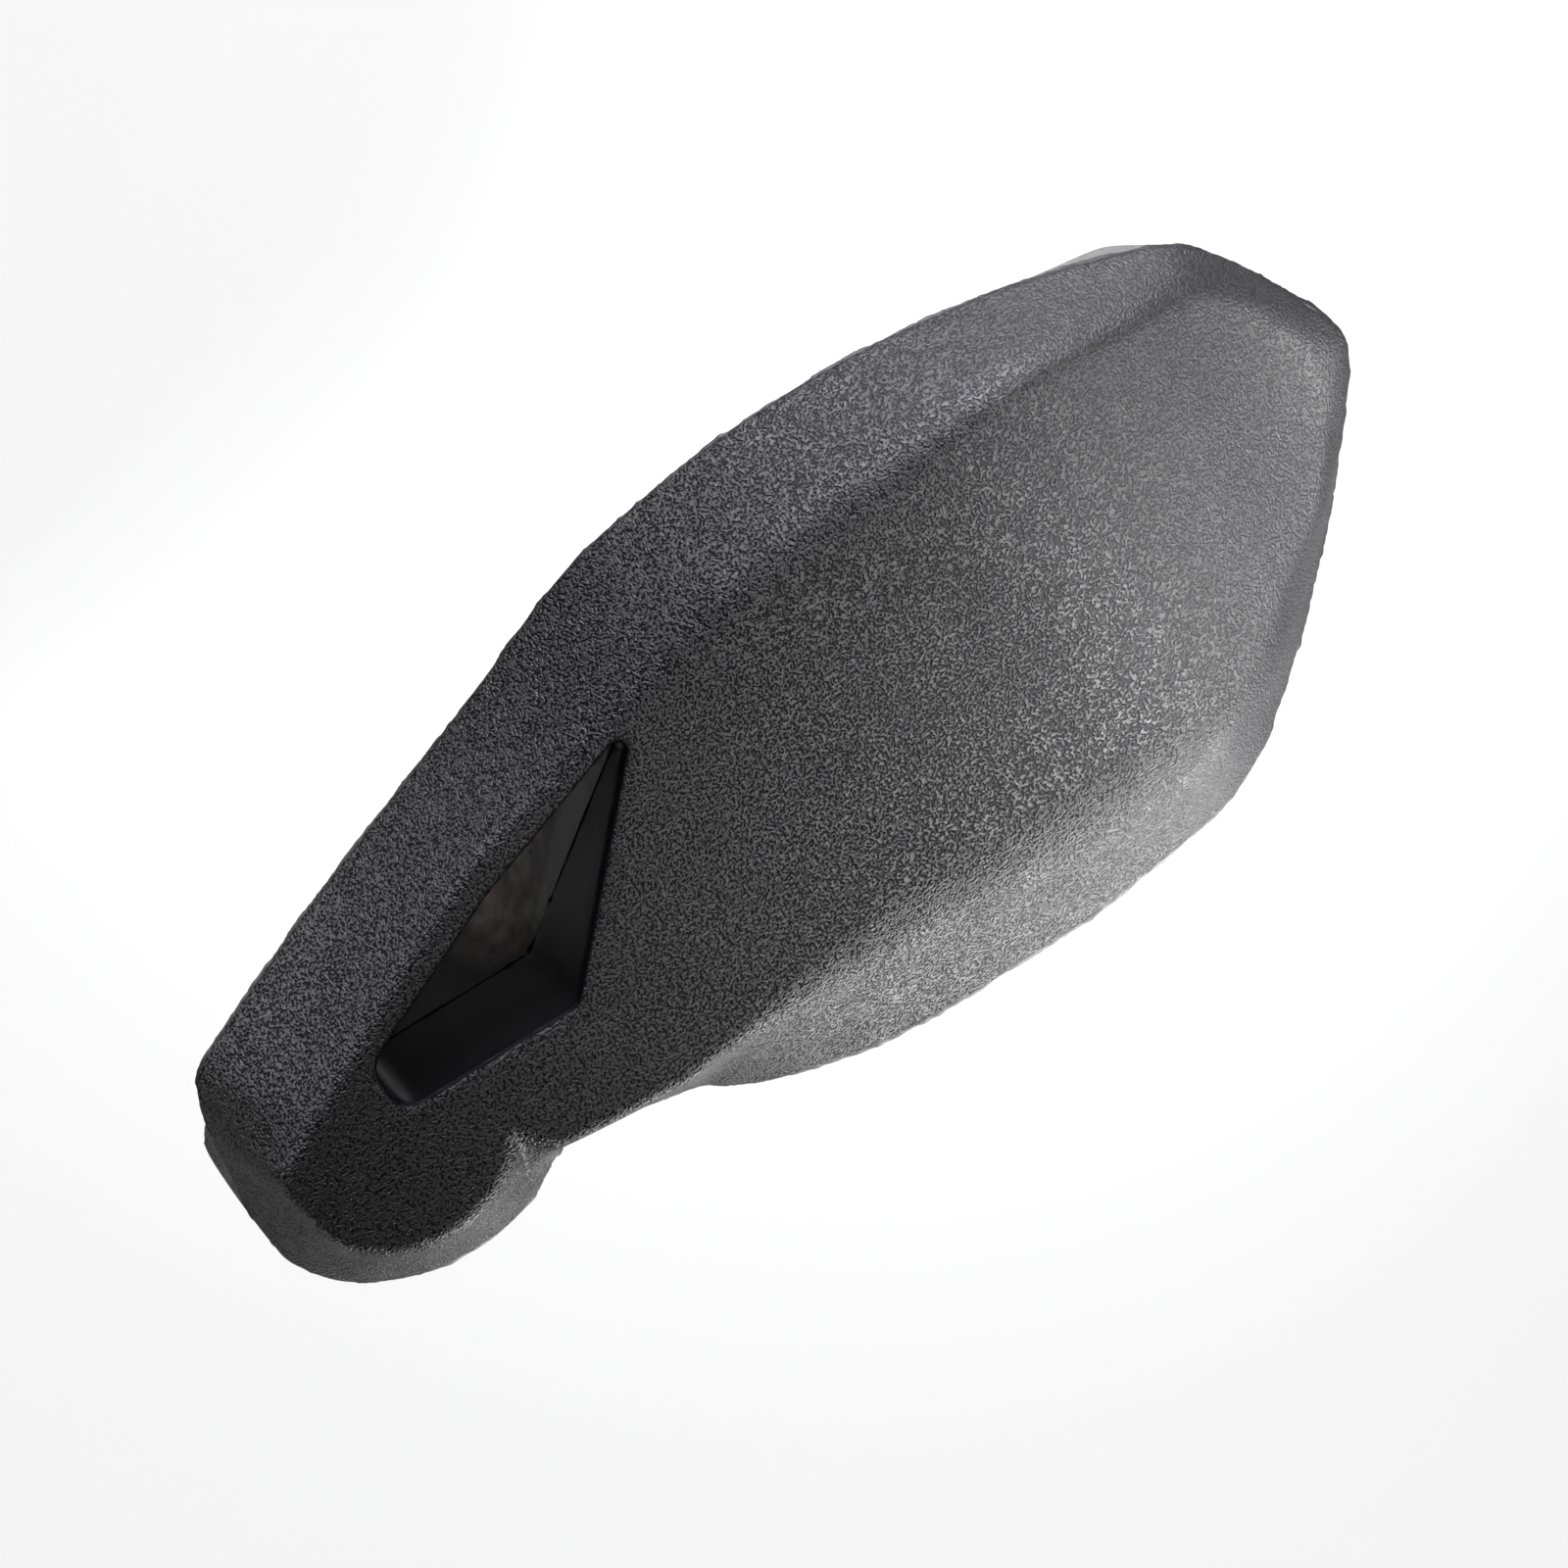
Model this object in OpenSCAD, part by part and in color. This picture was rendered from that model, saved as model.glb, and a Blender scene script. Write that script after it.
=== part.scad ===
// Swivelling chair armrest pad: a self-skinned polyurethane pad moulded round a steel
// core, carried by a friction swivel that bolts to the chair's arm frame.
// Origin: on the swivel axis, at the mounting face. +Z up, +X from the nose to the far
// end, +Y towards the side with the steep wall. Millimetres.

/* [Pad] */
// Distance from the swivel axis to the far tip
pad_reach = 204; // [168:1:246]
// Greatest half width on the steep-walled side (+Y)
steep_w = 72; // [60:1:87]
// Greatest half width on the bevelled side (-Y)
bevel_w = 44; // [37:1:53]
// Height of the arm surface above the mounting face
pad_top = 46; // [41:1:56]
// Height of the mould's parting line
parting_z = 23.4; // [21:0.1:28]
// Radius of the round nose at the parting line
nose_r = 27.5; // [27:0.5:33]
// Gap between the underside and the chair frame
nose_gap = 1; // [0.5:0.1:2]

/* [Triangular opening] */
// Distance along X from the axis to the opening's far corner
apex_x = 61.6; // [56:0.2:70]
// Distance along X from the axis to its front corner
corner_x = 32.4; // [30:0.2:40]
// Distance along X from the axis to the centre of its round end
round_x = 4.2; // [3:0.2:8]
// Length in Y of the straight part of the round end
round_w = 3; // [2:0.2:5]
// Width in Y left between the far corner and the edge
apex_w = 15.8; // [13:0.2:18]
// Width in Y left between the opening and the edge where the rail is narrowest
rail_w = 14.8; // [12:0.2:17]
// Distance along X from the axis to the narrowest place of the rail
rail_x = 31; // [24:1:38]
// Radius of the round end
round_r = 3.9; // [3.5:0.1:4.7]
// Radius of the corners
corner_r = 1.3; // [1:0.1:2]
// Draft on each wall, from a face to the parting line
opening_draft = 0.8; // [0.2:0.1:1.2]
// Foam left between the hub boss and the opening's front corner
opening_wall = 4.9; // [4:0.1:6]
// How much further from the axis the round end stands
front_taper = 2.4; // [0:0.1:4]
// How far the rail's inner wall leans in below the parting line
rail_lean = 7; // [3:1:7]

/* [Steel core] */
// Thickness of the core plate
core_t = 3; // [2.5:0.5:4]
// Foam between the plate's edge and the parting line
core_margin = 10; // [9:0.5:14]
// Foam between the plate and the opening
core_gap = 4; // [3:0.5:6]
// Radius of the plate round the hub
core_nose_r = 20; // [19.5:0.5:21]
// Radius of the holes that key the foam
key_r = 5; // [3:0.5:6]
// Width of a stiffener bar
bar_w = 4; // [3:0.5:5]
// Height of a stiffener bar
bar_h = 10; // [6:1:14]

/* [Swivel hub] */
// Swing each way from the rest position, in degrees
swing = 30; // [15:1:32]
// Radius of the base plate
base_r = 21.5; // [21:0.1:22]
// Thickness of the base plate
base_t = 9; // [8.6:0.1:10]
// Depth of the pocket under the base plate
pocket_depth = 5.6; // [5.2:0.1:6]
// Radius of that pocket
pocket_r = 9.4; // [9.2:0.1:11]
// Bolt circle diameter of the base plate
bolt_pcd = 33; // [31:0.5:34]
// Radius of a bolt hole (M6 tapping size)
bolt_r = 2.5; // [2.1:0.1:2.5]
// Radius of the pivot screw's shoulder
shoulder_r = 5; // [4.5:0.1:5.5]
// Radius of the pivot screw's thread
thread_r = 4; // [3:0.5:4]
// Radius of the pivot screw's head
head_r = 8; // [7.5:0.1:8.5]
// Height of the pivot screw's head
head_h = 3; // [2.5:0.1:3.2]
// Wall of the pivot bush
bush_wall = 1.5; // [1:0.1:2]
// Thickness of the friction disc and of the bush's flange
disc_t = 1.2; // [1:0.1:1.5]
// Thickness of the swivel plate
swivel_t = 3; // [2.5:0.5:4]
// Radius of the swivel plate
swivel_r = 21; // [20.5:0.1:21.4]
// Radius of the threaded boss on the core
boss_r = 9; // [7.5:0.5:10]
// Height of that boss
boss_h = 13; // [10:1:16]
// Radius of the stop pin
pin_r = 2; // [1.5:0.1:2.2]
// Distance of the stop pin from the axis
pin_reach = 17; // [16.5:0.1:17]
// Angle of the stop pin round the axis, which keeps its slot clear of the plate's flat
pin_angle = 188; // [187:1:189]
// Radius of a hub rivet
rivet_r = 2; // [1.6:0.1:2.1]
// Distance of the hub rivets from the axis
rivet_reach = 14.8; // [14.2:0.1:15]

/* [Clearances] */
// Running clearance of the shoulder in its bush, on the radius
run_clear = 0.05; // [0.02:0.01:0.08]
// Clearance of a threaded or riveted shank in its hole, on the radius
shank_clear = 0.1; // [0.05:0.05:0.2]
// Gap between two faces that slide past each other
face_gap = 0.1; // [0.05:0.05:0.2]
// Gap round the base plate inside the pad's recess
recess_gap = 0.8; // [0.5:0.1:0.9]
// Clearance of the stop pin in its slot
slot_clear = 0.3; // [0.2:0.1:0.5]

/* [Hidden] */
$fn = 64;
eps = 0.01;

// Levels, from the mounting face up
recess_top = base_t + disc_t + face_gap;
core_z = recess_top + swivel_t;
boss_z = core_z + core_t;
head_z = 0.6;
head_top = head_z + head_h;
washer_t = 0.8;
washer_z = pocket_depth - washer_t;
pin_foot = base_t - 5;
pin_top = core_z - slot_clear;
screw_top = boss_z + boss_h - 3;
recess_r = base_r + recess_gap;

// The pad's edge is a closed curve through hand-picked stations at the design size.
// Each is [edge x, edge y, ridge x, ridge y, drop of the ridge below the arm surface].
design_reach = 204;
design_steep_w = 72;
design_bevel_w = 44;
design_nose_r = 27.5;
far_end = [[188.2, -5, 184.5, -3.4, 17], [197, 6, 193.6, 7.4, 18],
           [201.4, 12.2, 198.2, 13.2, 18], [203.9, 19.5, 200.2, 19.7, 18],
           [200.4, 29.5, 197.6, 28.6, 18], [195.2, 41, 192.6, 39.5, 17],
           [187.3, 51.6, 184.5, 48.6, 15.5]];
steep_side = [[172.9, 58.8, 170, 53.5, 10], [164, 62.2, 161.5, 56.5, 7],
              [156, 64.8, 154, 58.5, 4.5], [140, 68.6, 140, 60, 1.5],
              [126.3, 70.7, 127, 60.2, 0], [108, 71.9, 108, 60, 0], [92.4, 71.2, 93, 59.2, 0],
              [77, 69.4, 79, 57.2, 0], [65.6, 66.2, 67, 54.6, 0], [50.6, 60.5, 53, 50.8, 0],
              [27.4, 52.5, 31, 45.5, 0], [11.9, 47.2, 15, 38.5, 0]];
nose_corner = [[-4, 41, -1, 30.7, 0], [-19, 34.8, -14, 24, 0], [-23.6, 31.8, -20, 20.9, 0],
               [-26.2, 27, -22.6, 19.6, 0], [-27.4, 21, -23.6, 18.6, 0]];
nose = [[-28.4, 13.8, -23.8, 16, 0], [-29.2, 5.9, -22.8, 9, 0], [-28.9, -3, -21.4, 2.8, 0],
        [-26.8, -10.4, -18.4, -1.6, 0], [-22.6, -16.6, -14, -5.4, 0],
        [-15.6, -21.9, -9, -7.7, 0], [-8.8, -24.8, -4.6, -8.4, 0],
        [-1.3, -26.2, -0.4, -8.2, 0], [5.4, -26.2, 4.4, -7.2, 0], [11, -24.8, 8.6, -5, 0]];
notch = [[14.6, -22.9, 11.4, -2.4, 0], [16.5, -21.6, 13.2, -0.8, 0], [19, -20.6, 16, -4.6, 0],
         [23, -20, 20.5, -7.6, 0]];
bevel_side = [[43, -25.5, 40, -11, 0], [48.4, -28.9, 48, -11, 0], [57.2, -34, 57.5, -11, 0],
              [66.8, -37.6, 67.5, -11, 0], [75, -40.2, 76, -11, 0], [91, -42.6, 92, -12, 0],
              [104, -43.5, 104, -14, 0], [115, -43.9, 113, -15.5, 0],
              [126, -43.6, 121, -17, 0], [136, -43, 129.5, -17.8, 1],
              [145.6, -41.6, 137, -18.3, 2.5], [152.9, -38.6, 144.5, -19.5, 4.5],
              [158.8, -34.6, 150.5, -20, 6], [169.3, -25.2, 161.5, -16.5, 10],
              [179, -15.4, 172.5, -9.5, 14]];
curve_steps = 2;

function grow_x(x) = x * pad_reach / design_reach;
function grow_y(y) = y * (y > 0 ? steep_w / design_steep_w : bevel_w / design_bevel_w);
function grown(s) = [grow_x(s[0]), grow_y(s[1]), grow_x(s[2]), grow_y(s[3]), s[4]];
function on_nose(s) = let (k = nose_r / design_nose_r) [for (i = [0:4]) i < 4 ? k * s[i] : s[i]];

stations = concat([for (s = concat(far_end, steep_side)) grown(s)],
                  [for (s = concat(nose_corner, nose, notch)) on_nose(s)],
                  [for (s = bevel_side) grown(s)]);

// Catmull-Rom curve through the stations, all five columns at once
function blend(a, b, c, d, t) =
    0.5 * (2 * b + (c - a) * t + (2 * a - 5 * b + 4 * c - d) * t * t
           + (3 * b - a - 3 * c + d) * t * t * t);
function closed_curve(p) =
    let (n = len(p))
    [for (i = [0:n - 1], k = [0:curve_steps - 1])
        blend(p[(i + n - 1) % n], p[i], p[(i + 1) % n], p[(i + 2) % n], k / curve_steps)];
function clamp(v, low, high) = min(max(v, low), high);
function unit(v) = v / norm(v);

// The middle line that the two faces close towards
middle_y = 12;
middle_start = -6;
middle_end = 0.69 * pad_reach;
function middle(p) = [clamp(p.x, middle_start, middle_end), middle_y];
function towards_middle(p, share) = p + (middle(p) - p) * share;
function inwards(p, distance) = p + unit(middle(p) - p) * distance;

// How far the underside stands in from the edge: most where the edge faces +Y
nose_under = 1;
lobe_under = 8;
steep_under = 13;
front_under = 2.5;
function under_inset(x, out) =
    max(nose_under + (lobe_under - nose_under) * clamp((x - nose_r) / 60, 0, 1),
        nose_under + steep_under * out.y - front_under * out.x);

edge = closed_curve(stations);
n_edge = len(edge);
function outward(i) =
    let (way = edge[(i + 1) % n_edge] - edge[(i + n_edge - 1) % n_edge]) unit([way.y, -way.x]);
face_share = 0.6;
parting_ring = [for (s = edge) [s[0], s[1], parting_z]];
ridge_ring = [for (s = edge) [s[2], s[3], pad_top - max(s[4], 0)]];
face_ring = [for (s = edge)
    let (q = towards_middle([s[2], s[3]], face_share)) [q.x, q.y, pad_top]];
// The lower walls run past the underside, which one flat cut then makes
below = 3;
past = (parting_z - nose_gap + below) / (parting_z - nose_gap);
under_ring = [for (i = [0:n_edge - 1])
    let (e = [edge[i].x, edge[i].y], out = outward(i),
         in = past * under_inset(e.x, unit(e - middle(e))))
    [e.x - in * out.x, e.y - in * out.y, nose_gap - below]];

// Outline of the opening at one face, moved in by some draft
function steep_edge(x) = lookup(x, [for (s = steep_side) [grow_x(s[0]), grow_y(s[1])]]);
opening_y = boss_r + opening_wall;
apex = [apex_x, steep_edge(apex_x) - apex_w - corner_r];
corner = [corner_x, opening_y + corner_r];
rail = [rail_x, steep_edge(rail_x) - rail_w - corner_r];
round_end = [round_x, opening_y + front_taper + round_r];
round_top = round_end + [0, round_w];

module pad_form() {
    rings = [under_ring, parting_ring, ridge_ring, face_ring];
    last = len(rings) - 1;
    polyhedron(
        points = [for (ring = rings) each ring],
        faces = concat(
            [for (r = [0:last - 1], i = [0:n_edge - 1])
                let (a = r * n_edge, j = (i + 1) % n_edge) [a + i, a + n_edge + i, a + j]],
            [for (r = [0:last - 1], i = [0:n_edge - 1])
                let (a = r * n_edge, j = (i + 1) % n_edge)
                [a + j, a + n_edge + i, a + n_edge + j]],
            [[for (i = [0:n_edge - 1]) i]],
            [[for (i = [n_edge - 1:-1:0]) last * n_edge + i]]));
}

// One half of the opening, from the parting line to height end_z, where its draft has
// widened it. Lean tips the rail's wall in.
module opening_half(end_z, lean) {
    height = end_z - parting_z;
    hull()
        for (spot = [[apex, corner_r, 0], [corner, corner_r, 0], [rail, corner_r, lean],
                     [round_end, round_r, 0], [round_top, round_r, 0]])
            translate([spot[0].x, spot[0].y, parting_z])
                multmatrix([[1, 0, 0, 0], [0, 1, -spot[2] / height, 0], [0, 0, 1, 0]])
                    rotate([height < 0 ? 180 : 0, 0, 0])
                        cylinder(h = abs(height), r1 = spot[1], r2 = spot[1] + opening_draft,
                                 $fn = 32);
}

// Room for the hub: each step starts inside the one below, so that no thin step is left
module hub_space() {
    translate([0, 0, -1]) cylinder(h = recess_top + 1, r = recess_r);
    translate([0, 0, recess_top - 1]) swivel_blank(swivel_t + 1);
    translate([0, 0, boss_z - 1]) cylinder(h = boss_h + 1, r = boss_r);
    rivet_places() translate([0, 0, boss_z - 1]) cylinder(h = 1, r = rivet_head_r);
    rivet_places() translate([0, 0, boss_z])
        cylinder(h = rivet_head_h, r1 = rivet_head_r, r2 = rivet_top_r);
}

module pad_body() {
    color([0.07, 0.07, 0.075])
        difference() {
            pad_form();
            translate([-2 * nose_r, -pad_reach, nose_gap - 2 * below])
                cube([2 * pad_reach, 2 * pad_reach, 2 * below]);
            opening_half(pad_top + 1, 0);
            opening_half(nose_gap - 1, rail_lean);
            hub_space();
            core_blank();
            stiffener_outer(1);
            stiffener_inner(1);
        }
}

// The core plate keeps its margin from the edge and passes in front of the opening
wall_dir = unit(apex - corner);
wall_out = [wall_dir.y, -wall_dir.x];
core_flat_y = opening_y - core_gap;
core_corner = corner + wall_out * (core_gap + corner_r)
    + wall_dir * ((core_flat_y - corner.y - wall_out.y * (core_gap + corner_r)) / wall_dir.y);
core_apex = apex + wall_out * (core_gap + corner_r);
arc_start = 180 - asin(core_flat_y / core_nose_r);
core_outline = concat(
    [for (a = [arc_start:6:324]) core_nose_r * [cos(a), sin(a)]],
    [for (s = bevel_side) inwards([grow_x(s[0]), grow_y(s[1])], core_margin)],
    [for (s = far_end) inwards([grow_x(s[0]), grow_y(s[1])], core_margin)],
    [for (i = [0:8]) inwards([grow_x(steep_side[i][0]), grow_y(steep_side[i][1])], core_margin)],
    [core_apex, core_corner]);
key_columns = 3;
key_first_x = apex_x + 30;
key_last_x = pad_reach - 48;
key_rows = [-12, 14, 40];
function key_x(i) = key_first_x + (key_last_x - key_first_x) * i / (key_columns - 1);

module core_blank() {
    translate([0, 0, core_z])
        difference() {
            linear_extrude(core_t) polygon(core_outline);
            for (i = [0:key_columns - 1], y = key_rows)
                translate([key_x(i), grow_y(y), -1]) cylinder(h = core_t + 2, r = key_r);
        }
}

module core_plate() {
    color([0.42, 0.43, 0.45])
        difference() {
            core_blank();
            cylinder(h = boss_z + 1, r = thread_r + shank_clear);
            rivet_places() rivet_hole();
        }
}

// A bar on the core plate. Sunk lets its room in the foam start inside the plate.
module stiffener(y, x_start, x_end, sunk) {
    translate([x_start, y - bar_w / 2, boss_z - sunk])
        cube([x_end - x_start, bar_w, bar_h + sunk]);
}

module stiffener_outer(sunk = 0) {
    color([0.36, 0.37, 0.39])
        stiffener(grow_y(27), apex_x + 12, key_last_x + 8, sunk);
}

module stiffener_inner(sunk = 0) {
    color([0.36, 0.37, 0.39])
        stiffener(1, rivet_reach + 8, key_last_x + 4, sunk);
}

module hub_boss() {
    color([0.5, 0.5, 0.52])
        translate([0, 0, boss_z])
            difference() {
                cylinder(h = boss_h, r = boss_r);
                translate([0, 0, -1]) cylinder(h = boss_h - 1, r = thread_r + shank_clear);
            }
}

// D-shaped: the flat keeps clear of the opening
module swivel_blank(height) {
    intersection() {
        cylinder(h = height, r = swivel_r);
        translate([-swivel_r - 1, -swivel_r - 1, -1])
            cube([2 * swivel_r + 2, swivel_r + 1 + core_flat_y, height + 2]);
    }
}

module arc_slot(height) {
    half_w = pin_r + slot_clear;
    rotate([0, 0, pin_angle - swing])
        rotate_extrude(angle = 2 * swing)
            translate([pin_reach - half_w, 0]) square([2 * half_w, height]);
    for (a = [-swing, swing])
        rotate([0, 0, pin_angle + a]) translate([pin_reach, 0, 0]) cylinder(h = height, r = half_w);
}

module swivel_plate() {
    color([0.55, 0.56, 0.58])
        difference() {
            translate([0, 0, recess_top]) swivel_blank(swivel_t);
            translate([0, 0, recess_top - 1]) cylinder(h = swivel_t + 2, r = thread_r + shank_clear);
            translate([0, 0, recess_top - 1]) arc_slot(swivel_t + 2);
            rivet_places() rivet_hole();
        }
}

rivet_angles = [245, 285, 325];
rivet_head_r = 2 * rivet_r;
rivet_head_h = 1.6;
rivet_top_r = 0.7 * rivet_head_r;
module rivet_places() {
    for (a = rivet_angles) rotate([0, 0, a]) translate([rivet_reach, 0, 0]) children();
}

// Countersunk flush under the swivel plate, low head above the core plate
module rivet() {
    rotate_extrude()
        polygon([[0, recess_top], [rivet_head_r, recess_top],
                 [rivet_r, recess_top + rivet_head_r - rivet_r],
                 [rivet_r, boss_z], [rivet_head_r, boss_z],
                 [rivet_top_r, boss_z + rivet_head_h], [0, boss_z + rivet_head_h]]);
}

module rivet_hole() {
    rotate_extrude()
        polygon([[0, recess_top - 1], [rivet_head_r, recess_top - 1],
                 [rivet_head_r, recess_top],
                 [rivet_r, recess_top + rivet_head_r - rivet_r],
                 [rivet_r, boss_z + 1], [0, boss_z + 1]]);
}

module hub_rivets() {
    color([0.66, 0.66, 0.67]) rivet_places() rivet();
}

socket_r = 2.9;
socket_depth = 2;
module pivot_screw() {
    color([0.2, 0.2, 0.21])
        difference() {
            union() {
                translate([0, 0, head_z]) cylinder(h = head_h, r = head_r);
                translate([0, 0, head_z]) cylinder(h = recess_top - head_z, r = shoulder_r);
                translate([0, 0, recess_top - 1])
                    cylinder(h = screw_top - recess_top + 1, r = thread_r);
            }
            translate([0, 0, head_z - 1]) cylinder(h = socket_depth + 1, r = socket_r, $fn = 6);
        }
}

bush_r = shoulder_r + run_clear + bush_wall;
bush_flange_r = bush_r + 1.5;
module base_plate() {
    color([0.13, 0.13, 0.14])
        difference() {
            cylinder(h = base_t, r = base_r);
            translate([0, 0, -1]) cylinder(h = pocket_depth + 1, r = pocket_r);
            translate([0, 0, -1]) cylinder(h = base_t + 2, r = bush_r);
            for (a = [30, 150, 270])
                rotate([0, 0, a]) translate([bolt_pcd / 2, 0, -1]) cylinder(h = base_t + 2, r = bolt_r);
            pin_blank(pin_foot, base_t);
        }
}

module pivot_bush() {
    color([0.88, 0.87, 0.82])
        difference() {
            union() {
                translate([0, 0, pocket_depth]) cylinder(h = base_t - pocket_depth + eps, r = bush_r);
                translate([0, 0, base_t]) cylinder(h = disc_t, r = bush_flange_r);
            }
            cylinder(h = recess_top + 1, r = shoulder_r + run_clear);
        }
}

module friction_disc() {
    color([0.75, 0.7, 0.6])
        translate([0, 0, base_t])
            difference() {
                cylinder(h = disc_t, r = swivel_r);
                translate([0, 0, -1]) cylinder(h = disc_t + 2, r = bush_flange_r + 0.2);
                pin_blank(-1, disc_t + 2);
            }
}

spring_t = 0.5;
module disc_spring() {
    inner_r = shoulder_r + 0.4;
    outer_r = pocket_r - 0.5;
    foot = head_top + face_gap;
    color([0.7, 0.7, 0.72])
        rotate_extrude()
            polygon([[inner_r, foot], [outer_r, washer_z - spring_t],
                     [outer_r, washer_z], [inner_r, foot + spring_t]]);
}

module thrust_washer() {
    color([0.62, 0.62, 0.64])
        translate([0, 0, washer_z])
            difference() {
                cylinder(h = washer_t, r = pocket_r - 0.3);
                translate([0, 0, -1]) cylinder(h = washer_t + 2, r = shoulder_r + 0.3);
            }
}

module pin_blank(z, height) {
    rotate([0, 0, pin_angle]) translate([pin_reach, 0, z]) cylinder(h = height, r = pin_r);
}

module stop_pin() {
    color([0.6, 0.6, 0.62]) pin_blank(pin_foot, pin_top - pin_foot);
}

pad_body();
core_plate();
stiffener_outer();
stiffener_inner();
hub_boss();
swivel_plate();
hub_rivets();
pivot_screw();
base_plate();
pivot_bush();
friction_disc();
disc_spring();
thrust_washer();
stop_pin();
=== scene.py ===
import math

import bpy
import numpy as np
from mathutils import Matrix, Vector


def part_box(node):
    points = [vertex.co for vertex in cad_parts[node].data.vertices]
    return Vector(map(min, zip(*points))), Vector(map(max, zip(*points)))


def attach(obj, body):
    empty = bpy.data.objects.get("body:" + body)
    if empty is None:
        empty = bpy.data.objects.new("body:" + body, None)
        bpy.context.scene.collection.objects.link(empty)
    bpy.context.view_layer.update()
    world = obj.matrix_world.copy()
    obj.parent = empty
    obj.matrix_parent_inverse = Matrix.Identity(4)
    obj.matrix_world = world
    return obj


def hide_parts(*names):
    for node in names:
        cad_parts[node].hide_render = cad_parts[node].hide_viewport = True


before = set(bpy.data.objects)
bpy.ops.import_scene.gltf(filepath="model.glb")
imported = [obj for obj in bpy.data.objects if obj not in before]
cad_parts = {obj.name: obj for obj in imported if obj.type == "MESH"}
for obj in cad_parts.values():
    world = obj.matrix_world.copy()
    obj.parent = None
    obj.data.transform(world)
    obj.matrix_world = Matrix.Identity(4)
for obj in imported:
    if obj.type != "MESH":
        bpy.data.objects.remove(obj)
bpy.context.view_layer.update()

# ---------------------------------------------------------------- sizes, in metres
MM = 0.001
PAD_LOW, PAD_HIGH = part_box("pad_body")
BASE_LOW, BASE_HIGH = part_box("base_plate")
SWIVEL_LOW, SWIVEL_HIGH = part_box("swivel_plate")

TOP_Z = PAD_HIGH.z
UNDER_Z = PAD_LOW.z
PARTING_Z = 23.4 * MM

# The pad's outline at the parting line and the ridge that bounds the arm surface,
# as stations of [edge x, edge y, ridge x, ridge y] in millimetres, anticlockwise.
FAR_END = [(188.2, -5, 184.5, -3.4), (197, 6, 193.6, 7.4), (201.4, 12.2, 198.2, 13.2),
           (203.9, 19.5, 200.2, 19.7), (200.4, 29.5, 197.6, 28.6), (195.2, 41, 192.6, 39.5),
           (187.3, 51.6, 184.5, 48.6)]
STEEP_SIDE = [(172.9, 58.8, 170, 53.5), (164, 62.2, 161.5, 56.5), (156, 64.8, 154, 58.5),
              (140, 68.6, 140, 60), (126.3, 70.7, 127, 60.2), (108, 71.9, 108, 60),
              (92.4, 71.2, 93, 59.2), (77, 69.4, 79, 57.2), (65.6, 66.2, 67, 54.6),
              (50.6, 60.5, 53, 50.8), (27.4, 52.5, 31, 45.5), (11.9, 47.2, 15, 38.5)]
NOSE_CORNER = [(-4, 41, -1, 30.7), (-19, 34.8, -14, 24), (-23.6, 31.8, -20, 20.9),
               (-26.2, 27, -22.6, 19.6), (-27.4, 21, -23.6, 18.6)]
NOSE = [(-28.4, 13.8, -23.8, 16), (-29.2, 5.9, -22.8, 9), (-28.9, -3, -21.4, 2.8),
        (-26.8, -10.4, -18.4, -1.6), (-22.6, -16.6, -14, -5.4), (-15.6, -21.9, -9, -7.7),
        (-8.8, -24.8, -4.6, -8.4), (-1.3, -26.2, -0.4, -8.2), (5.4, -26.2, 4.4, -7.2),
        (11, -24.8, 8.6, -5)]
NOTCH = [(14.6, -22.9, 11.4, -2.4), (16.5, -21.6, 13.2, -0.8), (19, -20.6, 16, -4.6),
         (23, -20, 20.5, -7.6)]
BEVEL_SIDE = [(43, -25.5, 40, -11), (48.4, -28.9, 48, -11), (57.2, -34, 57.5, -11),
              (66.8, -37.6, 67.5, -11), (75, -40.2, 76, -11), (91, -42.6, 92, -12),
              (104, -43.5, 104, -14), (115, -43.9, 113, -15.5), (126, -43.6, 121, -17),
              (136, -43, 129.5, -17.8), (145.6, -41.6, 137, -18.3),
              (152.9, -38.6, 144.5, -19.5), (158.8, -34.6, 150.5, -20),
              (169.3, -25.2, 161.5, -16.5), (179, -15.4, 172.5, -9.5)]
STATIONS = np.array(FAR_END + STEEP_SIDE + NOSE_CORNER + NOSE + NOTCH + BEVEL_SIDE, float) * MM
# Points of the curve from one station to the next
CURVE_STEPS = 8

# The arm surface is level up to FALL_FROM, then falls towards the far end, down to FALL_END
FALL_FROM = 130 * MM
FALL_RATE = 5.2  # per metre
FALL_END, FALL_BLEND = 19 * MM, 8 * MM
# Across, it is crowned more and more over a span of x, about a middle y
CROWN, CROWN_SPAN = 1.2 * MM, (60 * MM, 160 * MM)
CROWN_MIDDLE, CROWN_HALF_WIDTH = 20 * MM, 45 * MM
# The ridge stands in from the edge by at least this much
LEAST_WALL = 2.5 * MM
# How softly the ridge is rounded at the nose, and how much more so past a span of x, in millimetres
NOSE_SOFTNESS, MORE_SOFTNESS, SOFTENING_SPAN = 2.5, 6, (20 * MM, 150 * MM)
LEAST_SOFTNESS = 1 * MM

# How far the underside stands in from the edge at the nose, and how much more past a span of x,
# in millimetres
NOSE_UNDER, MORE_UNDER, UNDER_SPAN = 1, 7, (20 * MM, 90 * MM)
# It stands in by at least LEAST_UNDER, with STEEP_UNDER added where the wall faces +Y and
# FRONT_UNDER where it faces -X, as seen from the pad's middle line
LEAST_UNDER, STEEP_UNDER, FRONT_UNDER = 1 * MM, 13 * MM, 2.5 * MM
MIDDLE_ENDS, MIDDLE_Y = (-6 * MM, 141 * MM), 12 * MM
UNDER_BLEND = 3 * MM

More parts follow.
